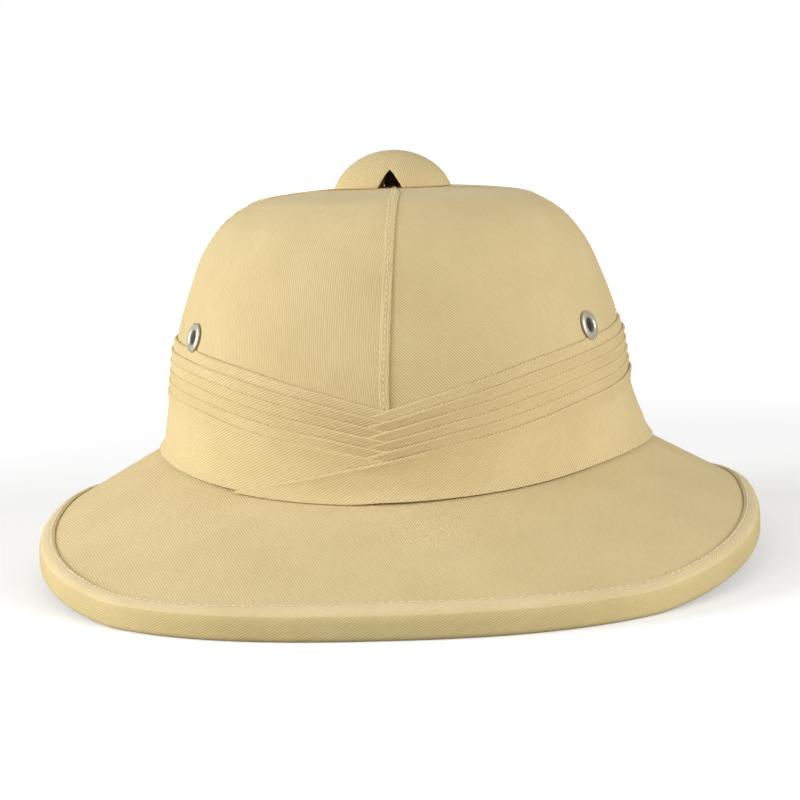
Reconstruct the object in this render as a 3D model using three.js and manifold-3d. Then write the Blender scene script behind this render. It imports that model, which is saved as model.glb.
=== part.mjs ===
// Sun helmet: a moulded crown and brim, covered in twill, with a pleated cloth band round the crown,
// a bound brim edge, four metal vent eyelets and a domed vent cap on top.
// Millimetres. The front of the hat faces -Y, up is +Z, and Z = 0 is the surface that the brim rests on.
// Left and right are as seen from the front, so right is +X.
import * as THREE from "three";
import { mergeVertices } from "three/addons/utils/BufferGeometryUtils.js";
import Module from "manifold-3d";

const wasm = await Module();
wasm.setup();

// Directions of the sections round the hat, in degrees from the front towards the right.
const sectionStep = 9;
const quarterTurn = 90;
const fullTurn = 360;

// Cloth and the clearance that touching pieces keep.
const clothThickness = 1.0;
const clearance = 0.35;

// Crown shell. The foot is where the crown meets the brim, lower at front and back.
const crownHalfWidth = 92.7;
const crownHalfLength = 107.5;
const crownTopHeight = 143.4;
const crownFootHeight = 43.7;
const crownFootDip = 10.2;
const crownWall = 4.0;
const crownShape = [
  { rise: 0, width: 1 },
  { rise: 0.125, width: 0.982 },
  { rise: 0.3, width: 0.955 },
  { rise: 0.47, width: 0.929 },
  { rise: 0.63, width: 0.872 },
  { rise: 0.76, width: 0.812 },
  { rise: 0.856, width: 0.738 },
  { rise: 0.9, width: 0.684 },
  { rise: 0.935, width: 0.622 },
  { rise: 0.962, width: 0.545 },
  { rise: 0.985, width: 0.32 },
  { rise: 1, width: 0 },
];
const crownRows = [0.987, 0.962, 0.925, 0.865, 0.77, 0.63, 0.43, 0.2, 0];

// Brim, measured to the outer face of its binding. The sides lift, the front and back lie level.
const brimHalfWidth = 140.5;
const brimFrontReach = 188;
const brimRearReach = 168;
const brimSideLift = 10.7;
const brimThickness = 7.0;
const brimFront = { reach: brimFrontReach, roundness: 2.475, liftPower: 1.64 };
const brimRear = { reach: brimRearReach, roundness: 2.1, liftPower: 2.2 };
const levelShare = 0.825;
const brimRootShare = 0.1;
const brimRootDrop = 0.08;

// Binding round the brim's edge.
const rimHeight = 9.8;
const bindingThickness = 1.2;
const bindingTopWidth = 6.5;
const bindingUnderWidth = 13;
const bindingRound = 1.6;
const restWidth = 5;

// Turned and raised edge where one crown panel laps over the next.
const lapReach = 1.4;
const lapWidth = 2.4;
const lapRamp = 1.2;
const lapRaise = 0.6;
const lapFullRadius = 45;

// Pugaree: five pleats over a wide band. Heights are shares of its height over the band's front foot.
const pugareeHeight = 54;
const pleatCount = 5;
const pleatLap = 1.4;
const pleatRaise = 0.8;
const crossingAngle = 6;
const tailAngle = 4 * sectionStep;
const bandFootGap = 0.8;
const bandFootFlare = 2.2;
const bandFlareHeight = 5;
const bandLean = 5.5;
const pugareeClearance = 0.55;
const pugareeShape = [
  { turn: 0, top: 0.596, band: 0.267 },
  { turn: 12, top: 0.707, band: 0.352 },
  { turn: 22, top: 0.789, band: 0.407 },
  { turn: 32, top: 0.865, band: 0.4685 },
  { turn: 45, top: 0.928, band: 0.537 },
  { turn: 60, top: 0.976, band: 0.583 },
  { turn: 90, top: 1, band: 0.62 },
  { turn: 180, top: 1, band: 0.62 },
];

// Vent eyelets, two near the front and two near the back.
const eyeletTurn = 55.5;
const eyeletHeight = 90.3;
const eyeletFlangeRadius = 5.7;
const eyeletBarrelRadius = 3.5;
const eyeletBoreRadius = 2.8;
const eyeletFlangeThickness = 0.9;
const eyeletSides = 12;
const eyeletSeat = 0.5;
const eyeletInnerSeat = 0.9;

// Vent cap and the hidden post that it stands on.
const capRadius = 23.5;
const capHeight = 14.2;
const capEdgeAngle = 20;
const capWall = 1.6;
const capSides = 28;
const capRows = 6;
const ventWidth = 9.8;
const ventHeight = 6.2;
const postRadius = 3.2;
const postSides = 12;
const postNutRadius = 9;
const postNutHeight = 2.5;
const postHeadRadius = 7;
const postHeadHeight = 1.5;

const clothSkin = clearance + clothThickness;
const holeRadius = postRadius + clearance;
const sandCloth = new THREE.MeshStandardMaterial({ color: 0xdcc595, roughness: 0.9, metalness: 0 });
const paleCloth = new THREE.MeshStandardMaterial({ color: 0xe3cd9d, roughness: 0.9, metalness: 0 });
const buffBoard = new THREE.MeshStandardMaterial({ color: 0xb9a47a, roughness: 0.95, metalness: 0 });
const paleMetal = new THREE.MeshStandardMaterial({ color: 0xc9c8c2, roughness: 0.3, metalness: 1 });
const greyMetal = new THREE.MeshStandardMaterial({ color: 0x8c8c8a, roughness: 0.45, metalness: 1 });

// A smooth curve through the rows of a table: the value of one column at a place in another.
function along(table, placeName, valueName, place) {
  const last = table.length - 2;
  let row = table.findIndex((r, i) => i > 0 && place <= r[placeName]) - 1;
  if (row < 0) row = place <= table[0][placeName] ? 0 : last;
  const at = (i) => table[THREE.MathUtils.clamp(i, 0, last + 1)];
  const slope = (i) => {
    const before = at(i - 1);
    const after = at(i + 1);
    return (after[valueName] - before[valueName]) / (after[placeName] - before[placeName]);
  };
  const from = at(row);
  const to = at(row + 1);
  const span = to[placeName] - from[placeName];
  const t = THREE.MathUtils.clamp((place - from[placeName]) / span, 0, 1);
  const turn = t * t * (3 - 2 * t);
  const leave = slope(row) * span * t * (1 - t) * (1 - t);
  const arrive = slope(row + 1) * span * t * t * (1 - t);
  return from[valueName] + (to[valueName] - from[valueName]) * turn + leave - arrive;
}

const mix = THREE.MathUtils.lerp;
const inRadians = THREE.MathUtils.degToRad;

// Distance from the hat's middle to a rounded outline, in the direction of a turn.
function planRadius(turn, halfWidth, reach, roundness) {
  const across = Math.abs(Math.sin(inRadians(turn))) / halfWidth;
  const lengthways = Math.abs(Math.cos(inRadians(turn))) / reach;
  return (across ** roundness + lengthways ** roundness) ** (-1 / roundness);
}

const facesFront = (turn) => Math.cos(inRadians(turn)) > 0;
const footHeight = (turn) => crownFootHeight - crownFootDip * Math.cos(inRadians(turn)) ** 2;
const footRadius = (turn) => planRadius(turn, crownHalfWidth, crownHalfLength, 2);
const crownWidth = (rise) => Math.max(0, along(crownShape, "rise", "width", rise));

function rimRadius(turn) {
  const end = facesFront(turn) ? brimFront : brimRear;
  return planRadius(turn, brimHalfWidth, end.reach, end.roundness);
}

function rimLift(turn) {
  const end = facesFront(turn) ? brimFront : brimRear;
  const share = Math.abs(rimRadius(turn) * Math.cos(inRadians(turn))) / end.reach;
  return brimSideLift * (1 - Math.min(1, share / levelShare) ** end.liftPower);
}

// Radius of the moulded crown at a height.
function wallRadius(turn, height) {
  const foot = footHeight(turn);
  const rise = (height - foot) / (crownTopHeight - foot);
  return footRadius(turn) * crownWidth(THREE.MathUtils.clamp(rise, 0, 1));
}

// Height of the moulded crown at a radius near the top.
function crownHeightAt(turn, radius) {
  let low = footHeight(turn);
  let high = crownTopHeight;
  for (let step = 0; step < 30; step++) {
    const middle = (low + high) / 2;
    if (wallRadius(turn, middle) > radius) low = middle;
    else high = middle;
  }
  return high;
}

// The crown shell's outline in the half plane of one turn, as points with a radius r and a height z.
function crownLine(turn) {
  const foot = footHeight(turn);
  const rows = crownRows.map((rise) => ({
    r: footRadius(turn) * crownWidth(rise),
    z: mix(foot, crownTopHeight, rise),
  }));
  rows.at(-1).z += clearance;
  return [{ r: holeRadius, z: crownTopHeight }, ...rows];
}

function brimPoint(turn, out) {
  const edgeRadius = rimRadius(turn) - bindingThickness - clearance;
  const edgeHeight = rimLift(turn) + rimHeight - bindingThickness - clearance - clothSkin;
  const beyondRoot = (out - brimRootShare) / (1 - brimRootShare);
  const drop = beyondRoot < 0 ? (out * brimRootDrop) / brimRootShare : mix(brimRootDrop, 1, beyondRoot);
  return {
    r: mix(footRadius(turn), edgeRadius, out),
    z: mix(footHeight(turn), edgeHeight, drop),
  };
}

const brimOut = (turn, radius) =>
  (radius - footRadius(turn)) / (rimRadius(turn) - bindingThickness - clearance - footRadius(turn));
const brimHeight = (turn, radius) => brimPoint(turn, brimOut(turn, radius)).z;

// The brim's rows from its root to its edge, one of them where the binding's top strip ends.
function brimLine(turn) {
  const stripEnd = brimOut(turn, rimRadius(turn) - bindingTopWidth);
  return [brimRootShare, 0.5, stripEnd, 1].map((out) => brimPoint(turn, out));
}

// The same line moved outwards by a distance, square to its own stretches.
function offsetLine(line, distance) {
  const normals = line.slice(1).map((point, i) => {
    const dr = point.r - line[i].r;
    const dz = point.z - line[i].z;
    const length = Math.hypot(dr, dz);
    return { r: -dz / length, z: dr / length };
  });
  return line.map((point, i) => {
    const before = normals[Math.max(0, i - 1)];
    const after = normals[Math.min(normals.length - 1, i)];
    const reach = distance / (1 + before.r * after.r + before.z * after.z);
    return { r: point.r + (before.r + after.r) * reach, z: point.z + (before.z + after.z) * reach };
  });
}

const raisedLine = (line, rise) => line.map(({ r, z }) => ({ r, z: z + rise }));

// Underside of the brim, from its level outer stretch in to the mouth of the crown.
function underLine(turn) {
  const rim = rimRadius(turn);
  const level = rimLift(turn) + bindingThickness + clearance;
  const middle = brimPoint(turn, 0.5);
  return [
    { r: rim - bindingThickness - clearance, z: level },
    { r: rim - bindingRound - restWidth, z: level },
    { r: middle.r, z: middle.z - brimThickness },
    { r: footRadius(turn) - crownWall, z: footHeight(turn) - brimThickness },
  ];
}

function underHeight(turn, radius) {
  const [, level, middle] = underLine(turn);
  return mix(level.z, middle.z, (level.r - radius) / (level.r - middle.r));
}

// A solid swept round the hat. Each section has a turn and a clockwise closed line; sections that
// don't go all the way round get end faces.
function sweptGeometry(sections, goesRound) {
  const count = sections[0].line.length;
  const positions = sections.flatMap(({ turn, line, turns }) =>
    line.flatMap((point, i) => {
      const direction = inRadians(turns ? turns[i] : turn);
      return [point.r * Math.sin(direction), -point.r * Math.cos(direction), point.z];
    }),
  );
  const faces = [];
  const spans = goesRound ? sections.length : sections.length - 1;
  for (let i = 0; i < spans; i++) {
    const here = i * count;
    const next = ((i + 1) % sections.length) * count;
    for (let j = 0; j < count; j++) {
      const k = (j + 1) % count;
      if (goesRound && sections[i].line[k].r < sections[i].line[j].r) {
        faces.push(here + j, here + k, next + j);
        faces.push(here + k, next + k, next + j);
      } else {
        faces.push(here + j, next + k, next + j);
        faces.push(here + j, here + k, next + k);
      }
    }
  }
  if (!goesRound) {
    const capOf = (section) =>
      THREE.ShapeUtils.triangulateShape(
        section.line.map((point) => new THREE.Vector2(point.r, point.z)),
        [],
      );
    const lastStart = (sections.length - 1) * count;
    for (const [a, b, c] of capOf(sections[0])) faces.push(a, b, c);
    for (const [a, b, c] of capOf(sections.at(-1))) {
      faces.push(lastStart + a, lastStart + c, lastStart + b);
    }
  }
  const geometry = new THREE.BufferGeometry();
  geometry.setAttribute("position", new THREE.Float32BufferAttribute(positions, 3));
  geometry.setIndex(faces);
  return geometry;
}

const allTurns = Array.from({ length: fullTurn / sectionStep }, (_, i) => i * sectionStep);
const roundTheHat = (lineAt) =>
  sweptGeometry(allTurns.map((turn) => ({ turn, line: lineAt(turn) })), true);

function solidOf(geometry) {
  const plain = geometry.clone();
  plain.deleteAttribute("normal");
  plain.deleteAttribute("uv");
  const merged = mergeVertices(plain, 1e-4);
  const vertProperties = merged.attributes.position.array;
  const triVerts = new Uint32Array(merged.index.array);
  return new wasm.Manifold(new wasm.Mesh({ numProp: 3, vertProperties, triVerts }));
}

function geometryOf(solid) {
  const mesh = solid.getMesh();
  const geometry = new THREE.BufferGeometry();
  geometry.setAttribute("position", new THREE.BufferAttribute(mesh.vertProperties, 3));
  geometry.setIndex(new THREE.BufferAttribute(mesh.triVerts, 1));
  return geometry;
}

const cutAway = (geometry, cutters) =>
  geometryOf(cutters.reduce((solid, cutter) => solid.subtract(cutter), solidOf(geometry)));

// Where an eyelet sits: a point on the crown's cloth and the direction straight out of it.
function crownFrame(turn, height) {
  const pointAt = (a, z) => {
    const r = wallRadius(a, z) + clothSkin;
    return new THREE.Vector3(r * Math.sin(inRadians(a)), -r * Math.cos(inRadians(a)), z);
  };
  const round = pointAt(turn + 1, height).sub(pointAt(turn - 1, height));
  const up = pointAt(turn, height + 1).sub(pointAt(turn, height - 1));
  return { point: pointAt(turn, height), out: round.cross(up).normalize() };
}

const eyeletPlaces = [
  { name: "eyelet_front_left", turn: -eyeletTurn },
  { name: "eyelet_front_right", turn: eyeletTurn },
  { name: "eyelet_rear_left", turn: eyeletTurn - 2 * quarterTurn },
  { name: "eyelet_rear_right", turn: 2 * quarterTurn - eyeletTurn },
].map((place) => ({ ...place, ...crownFrame(place.turn, eyeletHeight) }));

// A round cutter on each eyelet's line, reaching both ways from the cloth.
function eyeletCutters(radius, reach) {
  const bar = new THREE.CylinderGeometry(radius, radius, 2 * reach, eyeletSides);
  return eyeletPlaces.map(({ point, out }) => {
    const turned = new THREE.Quaternion().setFromUnitVectors(THREE.Object3D.DEFAULT_UP, out);
    const placing = new THREE.Matrix4().compose(point, turned, new THREE.Vector3(1, 1, 1));
    return solidOf(bar.clone().applyMatrix4(placing));
  });
}

const wallCutters = eyeletCutters(eyeletBarrelRadius + clearance, 2 * crownWall + clothSkin);
const flangeCutters = eyeletCutters(eyeletFlangeRadius + clearance, eyeletFlangeRadius);

// The crown's axis is at x = 0 and y = 0 of the group, and the group stands centred on its own length.
const hat = new THREE.Group();
hat.position.y = (brimFrontReach - brimRearReach) / 2;

function addPiece(name, geometry, material) {
  const piece = new THREE.Mesh(geometry, material);
  piece.name = name;
  hat.add(piece);
  return piece;
}

// Crown shell: a moulded dome, hollow where the head goes in, that stands on the brim shell's root.
function crownShellLine(turn) {
  const crown = crownLine(turn);
  const inside = offsetLine(crown, -crownWall);
  inside[0].r = holeRadius;
  inside.at(-1).z = crown.at(-1).z;
  return [...crown, ...inside.reverse()];
}
addPiece("crown_shell", cutAway(roundTheHat(crownShellLine), wallCutters), buffBoard);

// Brim shell: the moulded brim, from the crown's foot out to its edge and back underneath.
// Where the cloth of the brim starts, just clear of the crown panels.
const coverStart = (turn) => brimOut(turn, footRadius(turn) + clothSkin + clearance);

function brimShellLine(turn) {
  const root = { r: footRadius(turn) - crownWall, z: footHeight(turn) };
  return [root, brimPoint(turn, coverStart(turn)), ...brimLine(turn), ...underLine(turn)];
}
addPiece("brim_shell", roundTheHat(brimShellLine), buffBoard);

// Crown panels: four gores, each with a raised turned edge that laps over the next one.
function panelSection(turn, shift, raise) {
  const crown = crownLine(turn);
  const inner = offsetLine(crown, clearance);
  const outer = offsetLine(crown, clothSkin);
  inner[0].r = holeRadius;
  outer[0].r = holeRadius;
  inner.at(-1).z = crown.at(-1).z;
  outer.at(-1).z = crown.at(-1).z;
  const clearOfPleats = pugareeEdge(turn, 0) + clothThickness;
  const raised = outer.map((point) => {
    const lift = point.z > clearOfPleats ? raise : 0;
    return { r: point.r + lift * (point.r > lapFullRadius ? 1 : 0), z: point.z + lift };
  });
  const line = [...raised, ...inner.reverse()];
  const turns = line.map(
    (point) => turn + THREE.MathUtils.radToDeg(shift / Math.max(point.r, lapFullRadius)),
  );
  return { turn, line, turns };
}

function panelGeometry(startTurn) {
  const endTurn = startTurn + quarterTurn;
  const sections = [panelSection(startTurn, lapReach + clearance, 0)];
  for (let turn = startTurn + sectionStep; turn < endTurn; turn += sectionStep) {
    sections.push(panelSection(turn, 0, 0));
  }
  sections.push(panelSection(endTurn, lapReach - lapWidth - lapRamp, 0));
  sections.push(panelSection(endTurn, lapReach - lapWidth, lapRaise));
  sections.push(panelSection(endTurn, lapReach, lapRaise));
  return sweptGeometry(sections, false);
}

// Heights of the pugaree: edge 0 is the top of the first pleat, edge 5 the top of the band.
function foldedTurn(turn) {
  const positive = ((turn % fullTurn) + fullTurn) % fullTurn;
  return Math.min(positive, fullTurn - positive);
}

function bandFoot(turn) {
  return footHeight(turn) + bandFootGap;
}

function pugareeEdge(turn, edge) {
  const away = foldedTurn(turn);
  const top = along(pugareeShape, "turn", "top", away);
  const band = along(pugareeShape, "turn", "band", away);
  return bandFoot(0) + pugareeHeight * mix(top, band, edge / pleatCount);
}

const panelStarts = [
  { name: "crown_panel_front_left", start: -quarterTurn },
  { name: "crown_panel_front_right", start: 0 },
  { name: "crown_panel_rear_right", start: quarterTurn },
  { name: "crown_panel_rear_left", start: 2 * quarterTurn },
];
for (const { name, start } of panelStarts) {
  addPiece(name, cutAway(panelGeometry(start), wallCutters), sandCloth);
}

// Brim cover: the cloth on top of the brim, from the crown's foot to the edge under the binding.
function coverLine(turn) {
  const start = coverStart(turn);
  const brim = [brimPoint(turn, start), ...brimLine(turn)];
  return [...raisedLine(brim, clothSkin), ...raisedLine(brim, clearance).reverse()];
}
addPiece("brim_cover", roundTheHat(coverLine), sandCloth);

// Binding: a strip turned round the rim, with a level stretch below that the hat rests on.
function bindingLine(turn) {
  const rim = rimRadius(turn);
  const lift = rimLift(turn);
  const innerRise = clothSkin + clearance;
  const outerRise = innerRise + bindingThickness;
  const stripEnd = rim - bindingTopWidth;
  const shoulder = rim - bindingRound;
  const edge = rim - bindingThickness;
  const levelEnd = shoulder - restWidth;
  const underEnd = rim - bindingUnderWidth;
  const topHeight = brimHeight(turn, shoulder) + outerRise;
  return [
    { r: stripEnd, z: brimHeight(turn, stripEnd) + outerRise },
    { r: shoulder, z: topHeight },
    { r: rim, z: topHeight - bindingRound },
    { r: rim, z: lift + bindingRound },
    { r: shoulder, z: lift },
    { r: levelEnd, z: lift },
    { r: underEnd, z: underHeight(turn, underEnd) - clearance - bindingThickness },
    { r: underEnd, z: underHeight(turn, underEnd) - clearance },
    { r: levelEnd, z: lift + bindingThickness },
    { r: edge, z: lift + bindingThickness },
    { r: edge, z: brimHeight(turn, edge) + innerRise },
    { r: stripEnd, z: brimHeight(turn, stripEnd) + innerRise },
  ];
}
addPiece("brim_binding", roundTheHat(bindingLine), paleCloth);

// Pleats: each is one strip that starts at its right front tip, goes round the back and ends at its
// left front tip. Below each pleat's top edge the next pleat laps over its foot.
const pugareeBase = clothSkin + pugareeClearance;
const layerRise = clothThickness + clearance;

// Height of the slanting line where the right end of a strip crosses over its left end.
function crossingHeight(turn, startHeight, endHeight, reach) {
  return mix(startHeight, endHeight, -turn / reach);
}

function pleatSection(turn, pleat, side) {
  const top = pugareeEdge(turn, pleat - 1);
  const cover = pugareeEdge(turn, pleat);
  const foot = cover - pleatLap;
  const crossing = crossingHeight(
    turn,
    pugareeEdge(0, pleat - 1),
    pugareeEdge(crossingAngle, pleat) - pleatLap,
    crossingAngle,
  );
  const lean = pleat === 1 ? 0 : layerRise / (top - cover);
  const liftAt = (height) => pugareeBase + lean * (height - foot);
  const highest = side === "right" ? crossing - clearance / 2 : top;
  const lowest = side === "left" ? Math.max(foot, crossing + clearance / 2) : foot;
  const seam = mix(lowest, highest, Math.min(0.5, (cover + clearance - foot) / (top - foot)));
  const bare = THREE.MathUtils.clamp((highest - cover - clearance) / pleatLap, 0, 1);
  const raise = side === "right" ? pleatRaise * bare : 0;
  const pointAt = (height, lift) => ({ r: wallRadius(turn, height) + lift, z: height });
  const line = [
    pointAt(highest, liftAt(highest) + clothThickness + raise),
    pointAt(seam, liftAt(seam) + clothThickness),
    pointAt(lowest, liftAt(lowest) + clothThickness),
    pointAt(lowest, liftAt(lowest)),
    pointAt(highest, liftAt(highest)),
  ];
  return { turn, line };
}

const crossingTurns = [0.75, 0.5, 0.25].map((share) => -share * crossingAngle);

function pleatGeometry(pleat) {
  const right = crossingTurns.map((turn) => pleatSection(turn, pleat, "right"));
  const whole = allTurns.map((turn) => pleatSection(turn, pleat, "whole"));
  const joining = pleatSection(-crossingAngle, pleat, "whole");
  const left = crossingTurns.map((turn) => pleatSection(turn, pleat, "left"));
  return sweptGeometry([...right, ...whole, joining, ...left], false);
}

for (let pleat = 1; pleat <= pleatCount; pleat++) {
  const strip = pleatGeometry(pleat);
  const geometry = pleat === 1 ? cutAway(strip, flangeCutters) : strip;
  addPiece(`pugaree_fold_${pleat}`, geometry, paleCloth);
}

// Band: the widest lay, flared over the brim at its foot. Its right end laps over to the left as a
// slanting tail.
const bandRows = [0, 0.3, 0.75, 1];

function bandLift(turn, height) {
  const top = pugareeEdge(turn, pleatCount);
  const foot = bandFoot(turn);
  const leanRise = (layerRise * bandLean) / (bandLean - pleatLap);
  const lean = leanRise * Math.max(0, 1 - (top - height) / bandLean);
  const flare = bandFootFlare * Math.max(0, 1 - (height - foot) / bandFlareHeight) ** 2;
  return pugareeBase + Math.max(lean, flare);
}

function bandSection(turn, side) {
  const top = pugareeEdge(turn, pleatCount);
  const foot = bandFoot(turn);
  const crossing = crossingHeight(turn, pugareeEdge(0, pleatCount), bandFoot(tailAngle), tailAngle);
  const highest = side === "right" ? crossing - clearance / 2 : top;
  const lowest = side === "left" ? crossing + clearance / 2 : foot;
  const raise = side === "right" ? pleatRaise : 0;
  const heights = bandRows.map((share) => mix(highest, lowest, share));
  const point = (height, lift) => ({ r: wallRadius(turn, height) + lift, z: height });
  const outer = heights.map((height, i) =>
    point(height, bandLift(turn, height) + clothThickness + (i === 0 ? raise : 0)),
  );
  const inner = heights.map((height) => point(height, bandLift(turn, height)));
  return { turn, line: [...outer, ...inner.reverse()] };
}

const tailTurns = [3.6, 3, 2, 1].map((steps) => -steps * sectionStep);
const bandRight = tailTurns.map((turn) => bandSection(turn, "right"));
const bandWhole = allTurns
  .filter((turn) => turn <= fullTurn - tailAngle)
  .map((turn) => bandSection(turn, "whole"));
const bandLeft = [...tailTurns, ...crossingTurns].map((turn) => bandSection(turn, "left"));
addPiece("pugaree_band", sweptGeometry([...bandRight, ...bandWhole, ...bandLeft], false), paleCloth);

// Eyelets: a rolled flange outside, a barrel through the wall and a clinched ring inside.
const eyeletDepth = eyeletSeat + clothSkin + crownWall + eyeletInnerSeat;
const eyeletProfile = [
  [eyeletBoreRadius, -eyeletDepth - eyeletFlangeThickness],
  [eyeletFlangeRadius - 0.6, -eyeletDepth - eyeletFlangeThickness],
  [eyeletFlangeRadius - 0.6, -eyeletDepth],
  [eyeletBarrelRadius, -eyeletDepth],
  [eyeletBarrelRadius, 0],
  [eyeletFlangeRadius, 0],
  [mix(eyeletBarrelRadius, eyeletFlangeRadius, 0.6), eyeletFlangeThickness],
  [eyeletBoreRadius, eyeletFlangeThickness * 0.6],
  [eyeletBoreRadius, -eyeletDepth - eyeletFlangeThickness],
].map(([r, y]) => new THREE.Vector2(r, y));
for (const { name, point, out } of eyeletPlaces) {
  const eyelet = addPiece(name, new THREE.LatheGeometry(eyeletProfile, eyeletSides), paleMetal);
  eyelet.quaternion.setFromUnitVectors(THREE.Object3D.DEFAULT_UP, out);
  eyelet.position.copy(point).addScaledVector(out, eyeletSeat);
}

// Vent cap: a hollow dome with an arched vent at the front and at the back.
const capSeat = crownHeightAt(0, capRadius - capWall) + clothSkin + 2 * clearance;

// Half section of the dome, from its edge up to its top: part of an ellipse whose middle is lower.
const edgeAngle = inRadians(capEdgeAngle);
function domeHalf(radius, height) {
  const wide = radius / Math.cos(edgeAngle);
  const tall = height / (1 - Math.sin(edgeAngle));
  const middle = height - tall;
  return new THREE.EllipseCurve(0, middle, wide, tall, edgeAngle, Math.PI / 2).getPoints(capRows);
}

function capGeometry() {
  const outer = domeHalf(capRadius, capHeight);
  const inner = domeHalf(capRadius - capWall, capHeight - capWall).reverse();
  const dome = new THREE.LatheGeometry([...inner, ...outer], capSides);
  dome.rotateX(Math.PI / 2);
  const arch = new THREE.Shape();
  arch.moveTo(-ventWidth / 2, -capWall);
  arch.lineTo(ventWidth / 2, -capWall);
  arch.lineTo(ventWidth / 2, ventHeight * 0.25);
  arch.quadraticCurveTo(ventWidth * 0.3, ventHeight * 0.9, 0, ventHeight);
  arch.quadraticCurveTo(-ventWidth * 0.3, ventHeight * 0.9, -ventWidth / 2, ventHeight * 0.25);
  const tunnel = new THREE.ExtrudeGeometry(arch, {
    depth: 4 * capRadius,
    bevelEnabled: false,
    curveSegments: 4,
  });
  tunnel.translate(0, 0, -2 * capRadius);
  tunnel.rotateX(Math.PI / 2);
  return cutAway(dome, [solidOf(tunnel)]);
}
addPiece("top_button", capGeometry(), paleCloth).position.z = capSeat;

// Post: a nut inside the crown, a stem through its top and a head under the dome.
const nutTop = crownHeightAt(quarterTurn, postNutRadius) - crownWall - clearance;
function domeInside(radius) {
  const wide = (capRadius - capWall) / Math.cos(edgeAngle);
  const tall = (capHeight - capWall) / (1 - Math.sin(edgeAngle));
  return capHeight - capWall - tall * (1 - Math.sqrt(1 - (radius / wide) ** 2));
}
const postTop = capSeat + domeInside(postHeadRadius) - clearance;
const postProfile = [
  [0, nutTop - postNutHeight],
  [postNutRadius, nutTop - postNutHeight],
  [postNutRadius, nutTop],
  [postRadius, nutTop],
  [postRadius, postTop - postHeadHeight],
  [postHeadRadius, postTop - postHeadHeight],
  [postHeadRadius, postTop],
  [0, postTop],
].map(([r, y]) => new THREE.Vector2(r, y));
const post = new THREE.LatheGeometry(postProfile, postSides);
addPiece("button_post", post.rotateX(Math.PI / 2), greyMetal);

export default hat;
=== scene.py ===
import bmesh
import bpy
import numpy as np
from mathutils import Matrix, Vector


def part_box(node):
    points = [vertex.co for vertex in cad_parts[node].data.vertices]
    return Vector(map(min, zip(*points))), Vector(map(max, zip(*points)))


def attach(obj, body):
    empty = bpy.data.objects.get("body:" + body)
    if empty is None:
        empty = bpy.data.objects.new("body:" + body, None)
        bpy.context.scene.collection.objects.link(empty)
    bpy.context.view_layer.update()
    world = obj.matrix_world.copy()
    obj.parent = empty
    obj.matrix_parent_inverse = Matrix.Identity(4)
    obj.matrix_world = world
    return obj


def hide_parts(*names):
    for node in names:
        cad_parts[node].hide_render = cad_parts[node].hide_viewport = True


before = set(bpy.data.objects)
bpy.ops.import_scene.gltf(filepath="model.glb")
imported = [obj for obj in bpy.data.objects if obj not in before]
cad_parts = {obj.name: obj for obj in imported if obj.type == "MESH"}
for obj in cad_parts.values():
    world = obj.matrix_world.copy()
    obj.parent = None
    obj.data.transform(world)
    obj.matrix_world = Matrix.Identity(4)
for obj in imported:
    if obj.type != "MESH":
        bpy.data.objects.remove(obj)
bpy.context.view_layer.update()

# Sizes are in millimetres. The front of the hat faces -Y, and turns are degrees from the front
# towards +X. Points are turned into metres when a mesh is made.
mm = 0.001


def boxOf(node):
    low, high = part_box(node)
    return np.array(low) / mm, np.array(high) / mm


rimLow, rimHigh = boxOf("brim_binding")
capLow, capHigh = boxOf("top_button")
axisY = (capLow[1] + capHigh[1]) / 2

cloth = {"thickness": 1.0, "clearance": 0.35}
clothSkin = cloth["thickness"] + cloth["clearance"]

crown = {
    "halfWidth": 92.7,
    "halfLength": 107.5,
    "top": 143.4,
    "foot": 43.7,
    "footDip": 10.2,  # the foot is lower at the front and back
    "wall": 4.0,
    "highestRow": 0.997,  # rise of the last row, under the vent cap
    "shape": [
        {"rise": 0, "width": 1},
        {"rise": 0.125, "width": 0.982},
        {"rise": 0.3, "width": 0.955},
        {"rise": 0.47, "width": 0.929},
        {"rise": 0.63, "width": 0.872},
        {"rise": 0.76, "width": 0.812},
        {"rise": 0.856, "width": 0.738},
        {"rise": 0.9, "width": 0.684},
        {"rise": 0.935, "width": 0.622},
        {"rise": 0.962, "width": 0.545},
        {"rise": 0.985, "width": 0.32},
        {"rise": 1, "width": 0},
    ],
}

brim = {
    "halfWidth": rimHigh[0],
    "frontReach": axisY - rimLow[1],
    "rearReach": rimHigh[1] - axisY,
    "frontRoundness": 2.475,
    "rearRoundness": 2.1,
    "sideLift": 10.7,
    "frontLiftPower": 1.64,
    "rearLiftPower": 2.2,
    "levelShare": 0.825,
    "thickness": 7.0,
    "rootShare": 0.1,
    "rootDrop": 0.105,
    "rows": 24,
}


def smoothStep(value):
    value = np.clip(value, 0, 1)
    return value * value * (3 - 2 * value)


# A smooth curve through the rows of a table.
def along(table, placeName, valueName, place):
    places = np.array([row[placeName] for row in table], float)
    values = np.array([row[valueName] for row in table], float)
    slopes = np.empty_like(values)
    slopes[1:-1] = (values[2:] - values[:-2]) / (places[2:] - places[:-2])
    slopes[0] = (values[1] - values[0]) / (places[1] - places[0])
    slopes[-1] = (values[-1] - values[-2]) / (places[-1] - places[-2])
    row = np.clip(np.searchsorted(places, place, side="left") - 1, 0, len(places) - 2)
    span = places[row + 1] - places[row]
    t = np.clip((place - places[row]) / span, 0, 1)
    rise = (values[row + 1] - values[row]) * t * t * (3 - 2 * t)
    leave = slopes[row] * span * t * (1 - t) ** 2
    arrive = slopes[row + 1] * span * t * t * (1 - t)
    return values[row] + rise + leave - arrive


def planRadius(turn, halfWidth, reach, roundness):
    across = np.abs(np.sin(np.radians(turn))) / halfWidth
    lengthways = np.abs(np.cos(np.radians(turn))) / reach
    return (across**roundness + lengthways**roundness) ** (-1 / roundness)


def footHeight(turn):
    return crown["foot"] - crown["footDip"] * np.cos(np.radians(turn)) ** 2


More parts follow.
